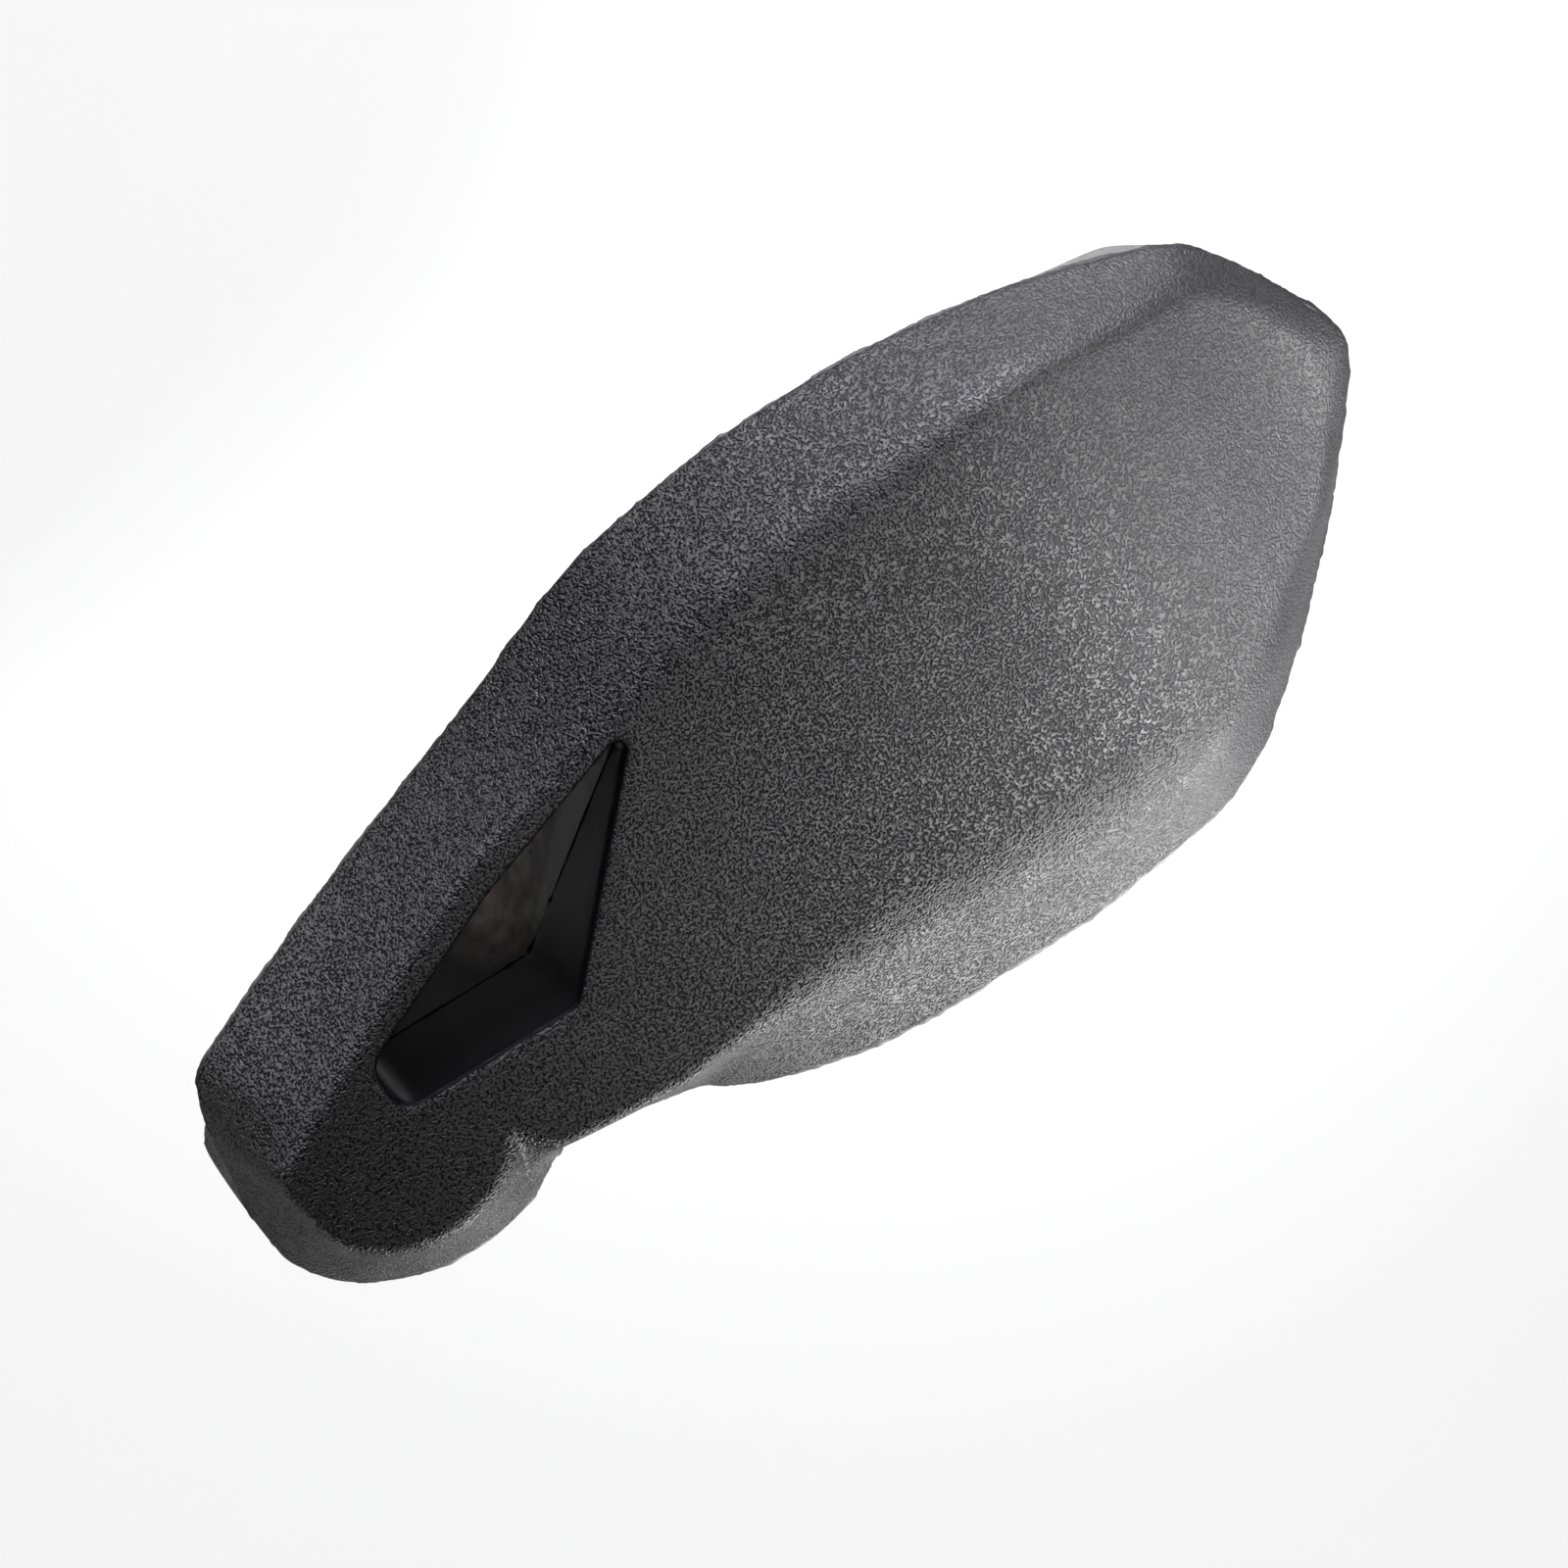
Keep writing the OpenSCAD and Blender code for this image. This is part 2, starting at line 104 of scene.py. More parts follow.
# The opening's corners as circles (centre and radius in millimetres), joined by straight walls
OPENING_SPOTS = [((61.6, 47.6), 1.3), ((32.4, 15.2), 1.3), ((31.0, 37.6), 1.3),
                 ((4.2, 20.2), 3.9), ((4.2, 23.2), 3.9)]
# The spots that move in towards the underside, and how far in millimetres
UNDER_SHIFTS = {1: (-1.2, 3.0), 2: (0.0, -7.0)}
OPENING_TURN = 3  # degrees between two points of its outline
OPENING_DRAFT, OPENING_BLEND = 0.8 * MM, 1.0 * MM
SEAM_RISE = 17 * MM

# Room round the base plate, and round and under the swivel plate
RECESS_GAP, SEAT_GAP = 0.8 * MM, 0.05 * MM

# Spacing of the grid on which the pad's surface is found, and of the points of a mould line
GRID = 0.8 * MM
LINE_STEP = 0.5 * MM


def closed_curve(points, steps):
    """Catmull-Rom curve through a closed list of points, all columns at once."""
    a, b = np.roll(points, 1, 0), points
    c, d = np.roll(points, -1, 0), np.roll(points, -2, 0)
    t = (np.arange(steps) / steps)[None, :, None]
    a, b, c, d = (p[:, None, :] for p in (a, b, c, d))
    curve = 0.5 * (2 * b + (c - a) * t + (2 * a - 5 * b + 4 * c - d) * t**2
                   + (3 * b - a - 3 * c + d) * t**3)
    return curve.reshape(-1, points.shape[1])


def signed_distance(px, py, ring):
    """Distance from each point to a closed polygon, positive inside."""
    best = np.full(px.shape, np.inf)
    inside = np.zeros(px.shape, bool)
    for (x0, y0), (x1, y1) in zip(ring, np.roll(ring, -1, 0)):
        ex, ey = x1 - x0, y1 - y0
        t = np.clip(((px - x0) * ex + (py - y0) * ey) / max(ex * ex + ey * ey, 1e-18), 0, 1)
        best = np.minimum(best, (px - x0 - t * ex) ** 2 + (py - y0 - t * ey) ** 2)
        if y0 != y1:
            crosses = (y0 > py) != (y1 > py)
            inside ^= crosses & (px < x0 + (py - y0) * ex / ey)
    return np.where(inside, 1, -1) * np.sqrt(best)


def smooth_min(a, b, width):
    """The smaller of two surfaces, with the corner between them rounded over a width."""
    h = np.maximum(width - np.abs(a - b), 0) / width
    return np.minimum(a, b) - h * h * width / 4


def smooth_max(a, b, width):
    """The larger of two surfaces, with the corner between them rounded over a width."""
    return -smooth_min(-a, -b, width)


def smoothstep(v, low, high):
    """From 0 at low to 1 at high, with soft ends."""
    t = np.clip((v - low) / (high - low), 0, 1)
    return t * t * (3 - 2 * t)


EDGE = closed_curve(STATIONS, CURVE_STEPS)
EDGE_RING, RIDGE_RING = EDGE[:, :2], EDGE[:, 2:]


def opening_ring(share=0.0):
    """The opening's outline at a share of the way from its seam down to the underside."""
    spots = [(np.array(c) * MM, r * MM) for c, r in OPENING_SPOTS]
    for spot, shift in UNDER_SHIFTS.items():
        spots[spot][0][:] += np.array(shift) * MM * share
    points = []
    for a in np.radians(np.arange(0, 360, OPENING_TURN)):
        way = np.array([math.cos(a), math.sin(a)])
        centre, radius = max(spots, key=lambda s: s[0] @ way + s[1])
        points.append(centre + way * radius)
    return np.array(points)


def seam_z(x):
    """Height of the opening's seam, which climbs from the front corner to the apex."""
    corner_x, apex_x = OPENING_SPOTS[1][0][0] * MM, OPENING_SPOTS[0][0][0] * MM
    return PARTING_Z + SEAM_RISE * np.clip((x - corner_x) / (apex_x - corner_x), 0, 1)


def draft(x, z):
    """How much wider the opening is, on each side, at a height above or below its seam."""
    return OPENING_DRAFT * np.abs(z - seam_z(x)) / PARTING_Z


# ---------------------------------------------------------------- the moulded pad
def upper_surface(px, py, to_edge):
    """Height of the arm surface and of the walls that climb to it from the parting line."""
    to_ridge = signed_distance(px, py, RIDGE_RING)
    climb = to_edge / np.maximum(to_edge - to_ridge, LEAST_WALL)
    fall = smooth_min(FALL_RATE * np.maximum(px - FALL_FROM, 0) ** 2, FALL_END, FALL_BLEND)
    across = (py - CROWN_MIDDLE) / CROWN_HALF_WIDTH
    arm = TOP_Z - fall - CROWN * smoothstep(px, *CROWN_SPAN) * across**2
    softness = (NOSE_SOFTNESS + MORE_SOFTNESS * smoothstep(px, *SOFTENING_SPAN)) * MM
    softness = np.minimum(softness, np.maximum(arm - PARTING_Z, LEAST_SOFTNESS))
    return smooth_min(arm, PARTING_Z + (arm - PARTING_Z) * climb, softness)


def lower_surface(px, py, to_edge):
    """Height of the underside and of the walls that drop to it from the parting line."""
    away_x, away_y = px - np.clip(px, *MIDDLE_ENDS), py - MIDDLE_Y
    away = np.hypot(away_x, away_y) + 1e-9
    inset = (NOSE_UNDER + MORE_UNDER * smoothstep(px, *UNDER_SPAN)) * MM
    inset = np.maximum(inset, LEAST_UNDER + (STEEP_UNDER * away_y - FRONT_UNDER * away_x) / away)
    wall = PARTING_Z - (PARTING_Z - UNDER_Z) * to_edge / inset
    return smooth_max(UNDER_Z, wall, UNDER_BLEND)


def steepness(surface):
    """A point's height over the surface, as a multiple of its distance from it."""
    gx, gy = np.gradient(surface, GRID)
    return np.sqrt(1 + gx**2 + gy**2)


def opening_field(px, py, z):
    """The opening through the pad: positive inside."""
    depth = np.clip((PARTING_Z - z) / (PARTING_Z - UNDER_Z), 0, 1)
    at_seam = signed_distance(px, py, opening_ring())[:, :, None]
    at_underside = signed_distance(px, py, opening_ring(1.0))[:, :, None]
    return at_seam * (1 - depth) + at_underside * depth + draft(px[:, :, None], z)


def seat_field(px, py, z):
    """The recess for the base plate and the seat of the swivel plate: negative inside."""
    radius = np.hypot(px, py)[:, :, None]
    recess = np.maximum(radius - (BASE_HIGH.x + RECESS_GAP), z - (SWIVEL_LOW.z + SEAT_GAP))
    seat = np.maximum(np.maximum(radius - SWIVEL_HIGH.x - SEAT_GAP, z - SWIVEL_HIGH.z),
                      py[:, :, None] - SWIVEL_HIGH.y - SEAT_GAP)
    return np.minimum(recess, seat)


def pad_field():
    """The pad's implicit surface on a grid: negative inside. Returns the grid and its axes."""
    margin = 3 * GRID
    xs = np.arange(PAD_LOW.x - margin, PAD_HIGH.x + margin, GRID)
    ys = np.arange(PAD_LOW.y - margin, PAD_HIGH.y + margin, GRID)
    # The parting line lies halfway between two levels, so that its edge comes out even
    zs = np.arange(PARTING_Z - GRID * (0.5 + math.ceil((PARTING_Z - UNDER_Z + margin) / GRID)),
                   TOP_Z + margin, GRID)
    px, py = np.meshgrid(xs, ys, indexing="ij")
    z = zs[None, None, :]

    to_edge = signed_distance(px, py, EDGE_RING)
    upper, lower = upper_surface(px, py, to_edge), lower_surface(px, py, to_edge)
    above = (z - upper[:, :, None]) / steepness(upper)[:, :, None]
    below = (lower[:, :, None] - z) / steepness(lower)[:, :, None]
    field = smooth_max(np.maximum(above, below), opening_field(px, py, z), OPENING_BLEND)
    field = np.maximum(field, -seat_field(px, py, z))
    return field.astype(np.float32), (xs, ys, zs)


def surface_net(field, axes):
    """Points and quads of a field's zero level, with one point in each cell that it cuts."""
    inside = field < 0
    nx, ny, nz = (n - 1 for n in field.shape)
    corners = [(i, j, k) for i in (0, 1) for j in (0, 1) for k in (0, 1)]
    total = np.zeros((nx, ny, nz), np.int8)
    for i, j, k in corners:
        total += inside[i:nx + i, j:ny + j, k:nz + k]
    cells = np.argwhere((total > 0) & (total < 8))
    index = np.full((nx, ny, nz), -1, np.int64)
    index[tuple(cells.T)] = np.arange(len(cells))
    value = {c: field[tuple((cells + c).T)] for c in corners}
    place = np.zeros((len(cells), 3))
    count = np.zeros(len(cells))
    for a in corners:
        for axis in range(3):
            if a[axis]:
                continue
            b = tuple(v + (n == axis) for n, v in enumerate(a))
            cut = (value[a] < 0) != (value[b] < 0)
            t = value[a][cut] / (value[a][cut] - value[b][cut])
            spot = np.repeat(np.array([a], float), cut.sum(), 0)
            spot[:, axis] = t
            place[cut] += spot
            count[cut] += 1
    place = place / count[:, None] + cells
    step = axes[0][1] - axes[0][0]
    origin = np.array([axis[0] for axis in axes])
    points = origin + place * step

    quads = []
    for axis in range(3):
        du, dv = np.eye(3, dtype=int)[(axis + 1) % 3], np.eye(3, dtype=int)[(axis + 2) % 3]
        low = [slice(None)] * 3
        high = [slice(None)] * 3
        low[axis], high[axis] = slice(0, -1), slice(1, None)
        first, second = inside[tuple(low)], inside[tuple(high)]
        for leaving in (True, False):
            edges = np.argwhere((first & ~second) if leaving else (~first & second))
            quad = np.stack([index[tuple((edges - du - dv).T)], index[tuple((edges - dv).T)],
                             index[tuple(edges.T)], index[tuple((edges - du).T)]], 1)
            quads.append(quad if leaving else quad[:, ::-1])
    return points, np.concatenate(quads)


def mesh_object(name, points, faces, smooth=True):
    mesh = bpy.data.meshes.new(name)
    mesh.from_pydata([tuple(p) for p in points], [], [tuple(int(i) for i in f) for f in faces])
    mesh.validate()
    mesh.update()
    mesh.polygons.foreach_set("use_smooth", [smooth] * len(mesh.polygons))
    piece = bpy.data.objects.new(name, mesh)
    bpy.context.scene.collection.objects.link(piece)
    return piece


def make_pad():
    points, quads = surface_net(*pad_field())
    return mesh_object("armrest_pad", points, quads)


# The opening's smooth skin begins BARE_EDGE outside its walls and is complete BARE_BLEND nearer
BARE_EDGE, BARE_BLEND = 0.9 * MM, 0.6 * MM


def mark_bare(piece):
    """1 on the smooth walls of the opening, 0 on the grained skin."""
    at = np.array([v.co for v in piece.data.vertices])
    near = signed_distance(at[:, 0], at[:, 1], opening_ring()) + draft(at[:, 0], at[:, 2])
    bare = np.clip((near + BARE_EDGE) / BARE_BLEND, 0, 1)
    attribute = piece.data.attributes.new("bare", "FLOAT", "POINT")
    attribute.data.foreach_set("value", bare.astype(np.float32))


def sweep(name, path, ups, width, height):
    """A closed thin ridge along a closed path: ups point out of the surface that it stands on."""
    n = len(path)
    along = np.roll(path, -1, 0) - np.roll(path, 1, 0)
    along /= np.linalg.norm(along, axis=1)[:, None]
    side = np.cross(along, ups)
    rows = [path - side * width / 2 - ups * width, path + ups * height[:, None],
            path + side * width / 2 - ups * width]
    points = np.concatenate(rows)
    faces = []
    for r in range(3):
        for i in range(n):
            j, s = (i + 1) % n, (r + 1) % 3
            faces.append((r * n + i, r * n + j, s * n + j, s * n + i))
    return mesh_object(name, points, faces)


def outward(ring):
    """Unit normals of a closed ring of points in the plane, away from its inside."""
    along = np.roll(ring, -1, 0) - np.roll(ring, 1, 0)
    along /= np.linalg.norm(along, axis=1)[:, None]
    return np.stack([along[:, 1], -along[:, 0]], 1)


def dense(ring, step):
    """The same closed ring with points about a step apart."""
    pieces = []
    for a, b in zip(ring, np.roll(ring, -1, 0)):
        n = max(1, int(np.linalg.norm(b - a) / step))
        pieces.append(a + (b - a) * (np.arange(n) / n)[:, None])
    return np.concatenate(pieces)


# A mould line's height waves by this share of the usual, over so many points, and never falls
# below the least share. A nib reaches so many points to each side.
WAVE, WAVE_POINTS, LEAST_HEIGHT, NIB_REACH = 0.35, 9, 0.3, 1.6


def flash_height(count, seed, usual, nibs, nib_height):
    """How proud a mould line stands: nearly even, with a few short nibs."""
    draw = np.random.default_rng(seed)
    rough = draw.normal(size=count + WAVE_POINTS - 1)
    height = usual * (1 + WAVE * np.convolve(rough, np.ones(WAVE_POINTS) / 3, "valid"))
    for at in draw.integers(0, count, nibs):
        off = np.abs(np.arange(count) - at)
        height = height + nib_height * np.exp(-(np.minimum(off, count - off) / NIB_REACH) ** 2)
    return np.clip(height, LEAST_HEIGHT * usual, None)


def make_parting_flash():
    """The line round the edge, set in a little because the edge is rounded."""
    ring = dense(EDGE_RING, LINE_STEP)
    normal = outward(ring)
    path = np.column_stack([ring - normal * 0.35 * MM, np.full(len(ring), PARTING_Z)])
    ups = np.column_stack([normal, np.zeros(len(ring))])
    height = flash_height(len(ring), seed=5, usual=0.42 * MM, nibs=26, nib_height=0.25 * MM)
    return sweep("parting_line", path, ups, width=0.5 * MM, height=height)


def make_opening_seam():
    """The line round the opening's walls, which stands into the opening."""
    ring = dense(opening_ring(), LINE_STEP)
    normal = outward(ring)
    path = np.column_stack([ring + normal * 0.05 * MM, seam_z(ring[:, 0])])
    ups = np.column_stack([-normal, np.zeros(len(ring))])
    height = flash_height(len(ring), seed=8, usual=0.2 * MM, nibs=5, nib_height=0.35 * MM)
    return sweep("opening_seam", path, ups, width=0.45 * MM, height=height)


# ---------------------------------------------------------------- materials
def new_material(name):
    """A material with only a Principled shader, and that shader."""
    material = bpy.data.materials.new(name)
    material.use_nodes = True
    nodes = material.node_tree.nodes
    nodes.clear()
    output = nodes.new("ShaderNodeOutputMaterial")
    shader = nodes.new("ShaderNodeBsdfPrincipled")
    material.node_tree.links.new(shader.outputs[0], output.inputs["Surface"])
    return material, shader


class Graph:
    """Short names for adding and joining a material's nodes."""

    def __init__(self, material):
        self.tree = material.node_tree
        self.place = self.add("ShaderNodeTexCoord").outputs["Object"]

    def add(self, kind, **settings):
        node = self.tree.nodes.new(kind)
        for name, value in settings.items():
            setattr(node, name, value)
        return node

    def link(self, out, socket):
        self.tree.links.new(out, socket)

    def feed(self, socket, value):
        """Give a socket a value, or join it to another node's output."""
        if isinstance(value, bpy.types.NodeSocket):
            self.link(value, socket)
        else:
            socket.default_value = value

    def fill(self, node, **values):
        """Feed a node's sockets by their names, with _ for each space."""
        for name, value in values.items():
            self.feed(node.inputs[name.replace("_", " ")], value)

    def noise(self, scale, detail=2.0, vector=None, output="Fac"):
        node = self.add("ShaderNodeTexNoise")
        self.fill(node, Vector=vector or self.place, Scale=scale, Detail=detail)
        return node.outputs[output]

    def span(self, value, low, high, to_low, to_high):
        """A value's range mapped to another and clamped there."""
        node = self.add("ShaderNodeMapRange", clamp=True)
        self.fill(node, Value=value, From_Min=low, From_Max=high, To_Min=to_low, To_Max=to_high)
        return node.outputs["Result"]

    def maths(self, operation, a, b=0.0):
        node = self.add("ShaderNodeMath", operation=operation)
        for socket, value in zip(node.inputs, (a, b)):
            self.feed(socket, value)
        return node.outputs[0]

    def ramp(self, value, *stops):
        """A colour ramp: each stop is its place and its colour."""
        node = self.add("ShaderNodeValToRGB")
        self.link(value, node.inputs["Fac"])
        elements = node.color_ramp.elements
        while len(elements) < len(stops):
            elements.new(0.5)
        for element, (place, colour) in zip(elements, stops):
            element.position = place
            element.color = (*colour, 1)
        return node.outputs["Color"]

    def blend(self, share, first, second):
        """The first colour, with this share of the second laid over it."""
        node = self.add("ShaderNodeMix", data_type="RGBA")
        self.link(share, node.inputs["Factor"])
        for socket, colour in ((node.inputs[6], first), (node.inputs[7], second)):
            self.feed(socket, (*colour, 1) if isinstance(colour, tuple) else colour)
        return node.outputs[2]

    def bump(self, height, depth, strength=1.0):
        node = self.add("ShaderNodeBump")
        self.fill(node, Height=height, Distance=depth, Strength=strength)
        return node.outputs["Normal"]


# Length that the grain's noises are scaled by, and depth of its folds. Along the fade's span of x
# they get shallower, down to the far share.
GRAIN_PITCH, GRAIN_DEPTH = 0.62 * MM, 0.22 * MM
GRAIN_FADE, FAR_GRAIN = (90 * MM, 170 * MM), 0.4
# Middle and radius of the pale patch on the lower half of the opening's long wall: partly a
# brownish smudge, partly painted light for the light that reaches this wall from below
SMUDGE_AND_LIGHT_AT, SMUDGE_AND_LIGHT_REACH = (38 * MM, 21.5 * MM, 12 * MM), 17 * MM
SMUDGED_AND_LIT, BARE_SHADED, FOLD_SHADE = (0.26, 0.215, 0.19), (0.003, 0.003, 0.0035), (0.002, 0.002, 0.002)


def moulded_skin():
    """Self-skinned polyurethane: worm-like leather grain outside, smooth inside the opening."""
    material, shader = new_material("moulded_skin")
    g = Graph(material)
    bare = g.add("ShaderNodeAttribute", attribute_name="bare").outputs["Fac"]
    smooth = g.span(bare, 0.25, 0.75, 0.0, 1.0)
    grained = g.maths("SUBTRACT", 1.0, smooth)

    # Another noise shifts the grain's, so that its folds wander like worms
    shift = g.add("ShaderNodeVectorMath", operation="MULTIPLY_ADD")
    g.link(g.noise(0.7 / GRAIN_PITCH, 0.0, output="Color"), shift.inputs[0])
    shift.inputs[1].default_value = (0.8 * GRAIN_PITCH,) * 3
    g.link(g.place, shift.inputs[2])
    worms = g.span(g.noise(1.3 / GRAIN_PITCH, 0.0, shift.outputs[0]), 0.30, 0.62, 0.0, 1.0)
    along = g.add("ShaderNodeSeparateXYZ")
    g.link(g.place, along.inputs[0])
    depth = g.maths("MULTIPLY", grained, g.span(along.outputs["X"], *GRAIN_FADE, 1.0, FAR_GRAIN))
    height = g.maths("ADD", g.maths("MULTIPLY", worms, depth),
                     g.maths("MULTIPLY", g.noise(60.0, 3.0), 0.2))
    g.link(g.bump(height, GRAIN_DEPTH), shader.inputs["Normal"])

    tone = g.ramp(g.noise(25.0, 3.0),
                  (0.3, (0.012, 0.0115, 0.0125)), (0.7, (0.015, 0.0143, 0.0156)))
    # The pale patch inside the opening: a brownish smudge, made brighter as painted light from
    # below
    away = g.add("ShaderNodeVectorMath", operation="DISTANCE")
    g.link(g.place, away.inputs[0])
    away.inputs[1].default_value = SMUDGE_AND_LIGHT_AT
    smudge_and_light = g.span(away.outputs["Value"], 0.45 * SMUDGE_AND_LIGHT_REACH, SMUDGE_AND_LIGHT_REACH, 1.0, 0.0)
    smudge_and_light = g.maths("MULTIPLY", g.maths("MULTIPLY", smudge_and_light, smooth),
                     g.span(g.noise(220.0, 4.0), 0.35, 0.65, 0.3, 1.0))
    # Inside the opening the colour is far darker than the skin's own black: painted shade
    inner = g.blend(smudge_and_light, BARE_SHADED, SMUDGED_AND_LIT)
    # The grain's folds are darkened in colour: painted shade in the folds
    skin = g.blend(g.maths("MULTIPLY", depth, g.span(worms, 0.15, 0.75, 0.9, 0.0)), tone, FOLD_SHADE)
    g.link(g.blend(smooth, skin, inner), shader.inputs["Base Color"])
    rough = g.span(g.noise(180.0, 3.0), 0.3, 0.7, 0.46, 0.54)
    g.link(g.maths("SUBTRACT", rough, g.maths("MULTIPLY", smooth, 0.1)), shader.inputs["Roughness"])
    # The folds and the opening's walls shine less than the skin's crests: painted shade in the
    # folds and inside the opening
    valley = g.maths("MULTIPLY", depth, g.span(worms, 0.15, 0.75, 0.40, 0.0))
    sheen = g.maths("SUBTRACT", g.span(smooth, 0.0, 1.0, 0.48, 0.04), valley)
    g.link(sheen, shader.inputs["Specular IOR Level"])
    return material


def mould_line():
    """The thin bare line where the mould's halves met."""
    material, shader = new_material("mould_line")
    g = Graph(material)
    tone = g.ramp(g.noise(900.0, 2.0), (0.3, (0.010, 0.010, 0.011)), (0.7, (0.018, 0.018, 0.019)))
    g.link(tone, shader.inputs["Base Color"])
    g.link(g.span(g.noise(500.0), 0.3, 0.7, 0.45, 0.6), shader.inputs["Roughness"])
    g.link(g.bump(g.noise(1500.0, 3.0), 0.03 * MM, 0.5), shader.inputs["Normal"])
    shader.inputs["Specular IOR Level"].default_value = 0.4
    return material


def metal(name, tone, roughness, scratches=0.3):
    """Plated or treated steel: tone varies softly, and fine turning marks catch the light."""
    material, shader = new_material(name)
    g = Graph(material)
    light = tuple(c * 1.15 for c in tone)
    dark = tuple(c * 0.8 for c in tone)
    g.link(g.ramp(g.noise(120.0, 4.0), (0.35, dark), (0.65, light)), shader.inputs["Base Color"])
    g.link(g.span(g.noise(400.0, 3.0), 0.3, 0.7, roughness - 0.07, roughness + 0.07),
           shader.inputs["Roughness"])
    rings = g.add("ShaderNodeTexWave", wave_type="RINGS", rings_direction="Z")
    g.fill(rings, Vector=g.place, Scale=900.0, Distortion=1.5, Detail=2.0)
    marks = g.maths("ADD", rings.outputs["Fac"], g.noise(2500.0, 2.0))
    g.link(g.bump(marks, 0.01 * MM, scratches), shader.inputs["Normal"])
    shader.inputs["Metallic"].default_value = 1.0
    return material


def powder_coat():
    """Satin black powder coat with its slight orange peel."""
    material, shader = new_material("powder_coat")
    g = Graph(material)
    tone = g.ramp(g.noise(70.0, 3.0), (0.35, (0.014, 0.014, 0.015)), (0.65, (0.022, 0.022, 0.023)))
    g.link(tone, shader.inputs["Base Color"])
    g.link(g.span(g.noise(300.0, 2.0), 0.3, 0.7, 0.34, 0.44), shader.inputs["Roughness"])
    g.link(g.bump(g.noise(650.0, 2.0), 0.05 * MM, 0.4), shader.inputs["Normal"])
    return material


def plastic(name, low, high, roughness):
    """Plain moulded or pressed plastic with faint mottling."""
    material, shader = new_material(name)
    g = Graph(material)
    g.link(g.ramp(g.noise(350.0, 4.0), (0.3, low), (0.7, high)), shader.inputs["Base Color"])
    g.link(g.span(g.noise(500.0, 2.0), 0.3, 0.7, roughness - 0.05, roughness + 0.05),
           shader.inputs["Roughness"])
    g.link(g.bump(g.noise(1200.0, 3.0), 0.02 * MM, 0.4), shader.inputs["Normal"])
    return material


def dress(piece, material):
    """Give a piece this material alone."""
    piece.data.materials.clear()
    piece.data.materials.append(material)


# ---------------------------------------------------------------- camera, stage and lights
LENS, SENSOR_WIDTH = 420, 36  # millimetres
PIXELS_PER_M = 6200
FRAME_PIXELS = 1600
# The point in the picture's middle, and which ways are right and up in it
LOOK_AT = Vector((81.9, 24.2, 45.7)) * MM
RIGHT = Vector((0.807, -0.471, 0.354)).normalized()
UP = Vector((0.582, 0.731, -0.354)).normalized()


def make_camera():
    """A camera with a long lens, far enough off to see FRAME_PIXELS at PIXELS_PER_M."""
    data = bpy.data.cameras.new("camera")
    data.lens, data.sensor_width = LENS, SENSOR_WIDTH
    distance = FRAME_PIXELS / PIXELS_PER_M * LENS / SENSOR_WIDTH
    back = RIGHT.cross(UP).normalized()
    up = back.cross(RIGHT)
    turn = Matrix((RIGHT, up, back)).transposed().to_4x4()
    camera = bpy.data.objects.new("camera", data)
    bpy.context.scene.collection.objects.link(camera)
    camera.matrix_world = Matrix.Translation(LOOK_AT + back * distance) @ turn
    bpy.context.scene.camera = camera


# The floor lies well below the pad, which its chair's arm frame would hold up
FLOOR_Z, FLOOR_REACH = BASE_LOW.z - 120 * MM, 3.0
# How much of what the camera sees of the floor is its own glow
FLOOR_GLOW = 0.86


def make_floor():
    """A pale floor that looks evenly white and still lights the pad from below."""
    corners = ((-1, -1), (1, -1), (1, 1), (-1, 1))
    points = [(x * FLOOR_REACH, y * FLOOR_REACH, FLOOR_Z) for x, y in corners]
    floor = mesh_object("floor", points, [(0, 1, 2, 3)], smooth=False)
    material, shader = new_material("pale_floor")
    g = Graph(material)
    tone = g.ramp(g.noise(4.0), (0.3, (0.86, 0.86, 0.86)), (0.7, (0.88, 0.88, 0.88)))
    g.link(tone, shader.inputs["Base Color"])
    shader.inputs["Roughness"].default_value = 0.9
    glow = g.add("ShaderNodeEmission")
    glow.inputs["Strength"].default_value = 1.0
    mix = g.add("ShaderNodeMixShader")
    sight = g.add("ShaderNodeLightPath").outputs["Is Camera Ray"]
    g.link(g.maths("MULTIPLY", sight, FLOOR_GLOW), mix.inputs[0])
    g.link(shader.outputs[0], mix.inputs[1])
    g.link(glow.outputs[0], mix.inputs[2])
    output = next(n for n in g.tree.nodes if n.type == "OUTPUT_MATERIAL")
    g.link(mix.outputs[0], output.inputs["Surface"])
    dress(floor, material)


# Strength of the world's light on the pad. The camera sees it at full strength.
WORLD_LIGHT = 0.08


def make_world():
    """A white world, dim for all but the camera."""
    world = bpy.data.worlds.new("studio")
    world.use_nodes = True
    bpy.context.scene.world = world
    g = Graph(world)
    background = next(n for n in g.tree.nodes if n.type == "BACKGROUND")
    sight = g.add("ShaderNodeLightPath").outputs["Is Camera Ray"]
    g.link(g.span(sight, 0.0, 1.0, WORLD_LIGHT, 1.0), background.inputs["Strength"])
    background.inputs["Color"].default_value = (1, 1, 1, 1)


WHITE, COOL = (1, 1, 1), (0.93, 0.93, 1.0)
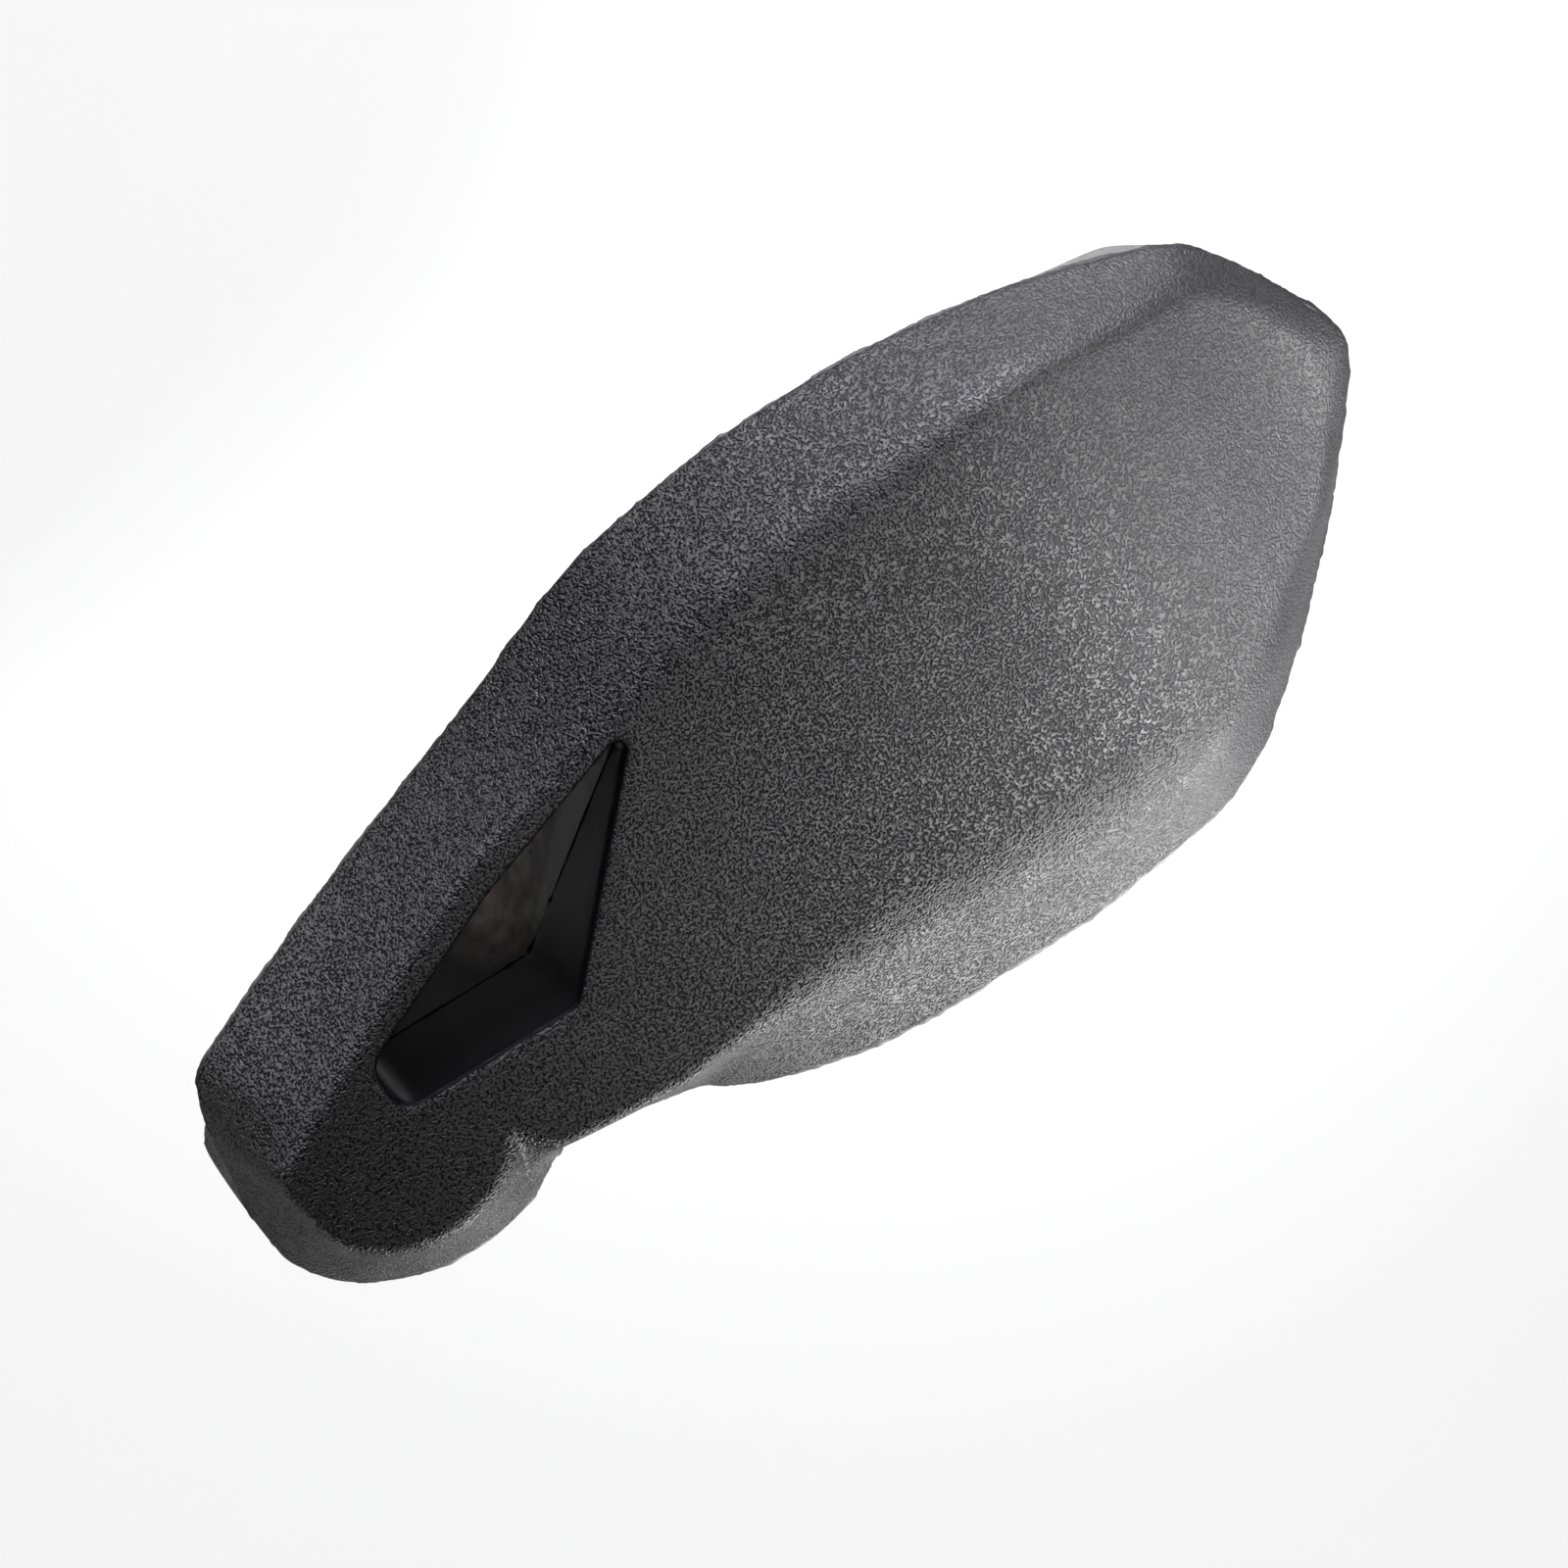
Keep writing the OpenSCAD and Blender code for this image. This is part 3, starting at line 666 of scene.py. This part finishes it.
# Each is a name, its place and what it faces in millimetres, its size in metres, its power in
# watts, its spread in degrees and its colour
SOFTBOXES = [
    ("arm_box", (280, -240, 340), (198, -88, 45), (0.2, 0.2), 0.60, 32, WHITE),
    ("far_end_box", (650, -350, 250), (205, 20, 35), (0.2, 0.2), 0.06, 14, WHITE),
    ("bevel_box", (150, -550, -20), (100, -40, 30), (0.3, 0.15), 0.15, 26, WHITE),
    ("steep_side_box", (350, 600, 100), (165, 62, 35), (0.3, 0.3), 0.72, 36, COOL),
    ("far_corner_box", (600, 450, 150), (160, 60, 35), (0.3, 0.3), 3.2, 180, COOL),
    ("nose_box", (-350, -300, 50), (-25, -5, 30), (0.12, 0.12), 0.5, 180, WHITE),
    ("nose_side_box", (-150, 500, 60), (-12, 38, 30), (0.08, 0.08), 0.026, 14, WHITE),
]


def make_softbox(name, place, aim, size, power, spread, colour):
    data = bpy.data.lights.new(name, "AREA")
    data.shape, data.size, data.size_y = "RECTANGLE", size[0], size[1]
    data.energy, data.spread, data.color = power, math.radians(spread), colour
    light = bpy.data.objects.new(name, data)
    bpy.context.scene.collection.objects.link(light)
    place, aim = Vector(place) * MM, Vector(aim) * MM
    turn = (aim - place).to_track_quat("-Z", "Y").to_matrix().to_4x4()
    light.matrix_world = Matrix.Translation(place) @ turn


# ---------------------------------------------------------------- the scene
make_camera()
make_floor()
make_world()
for softbox in SOFTBOXES:
    make_softbox(*softbox)

pad = make_pad()
mark_bare(pad)
skin = moulded_skin()
dress(pad, skin)
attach(pad, "pad")
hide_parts("pad_body")

lines = mould_line()
for piece in (make_parting_flash(), make_opening_seam()):
    dress(piece, lines)
    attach(piece, "pad")

zinc = metal("zinc_plate", (0.56, 0.57, 0.58), 0.34)
phosphate = metal("phosphated_steel", (0.20, 0.205, 0.21), 0.5, 0.5)
black_oxide = metal("black_oxide", (0.045, 0.045, 0.048), 0.36)
FINISHES = {
    "base_plate": powder_coat(),
    "swivel_plate": zinc, "hub_rivets": zinc, "disc_spring": zinc,
    "thrust_washer": zinc, "stop_pin": zinc,
    "core_plate": phosphate, "stiffener_outer": phosphate, "stiffener_inner": phosphate,
    "hub_boss": phosphate,
    "pivot_screw": black_oxide,
    "pivot_bush": plastic("acetal", (0.74, 0.73, 0.68), (0.80, 0.79, 0.74), 0.4),
    "friction_disc": plastic("friction_fibre", (0.20, 0.14, 0.08), (0.33, 0.25, 0.15), 0.75),
}
for node, finish in FINISHES.items():
    dress(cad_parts[node], finish)

bpy.context.scene.view_settings.view_transform = "Standard"
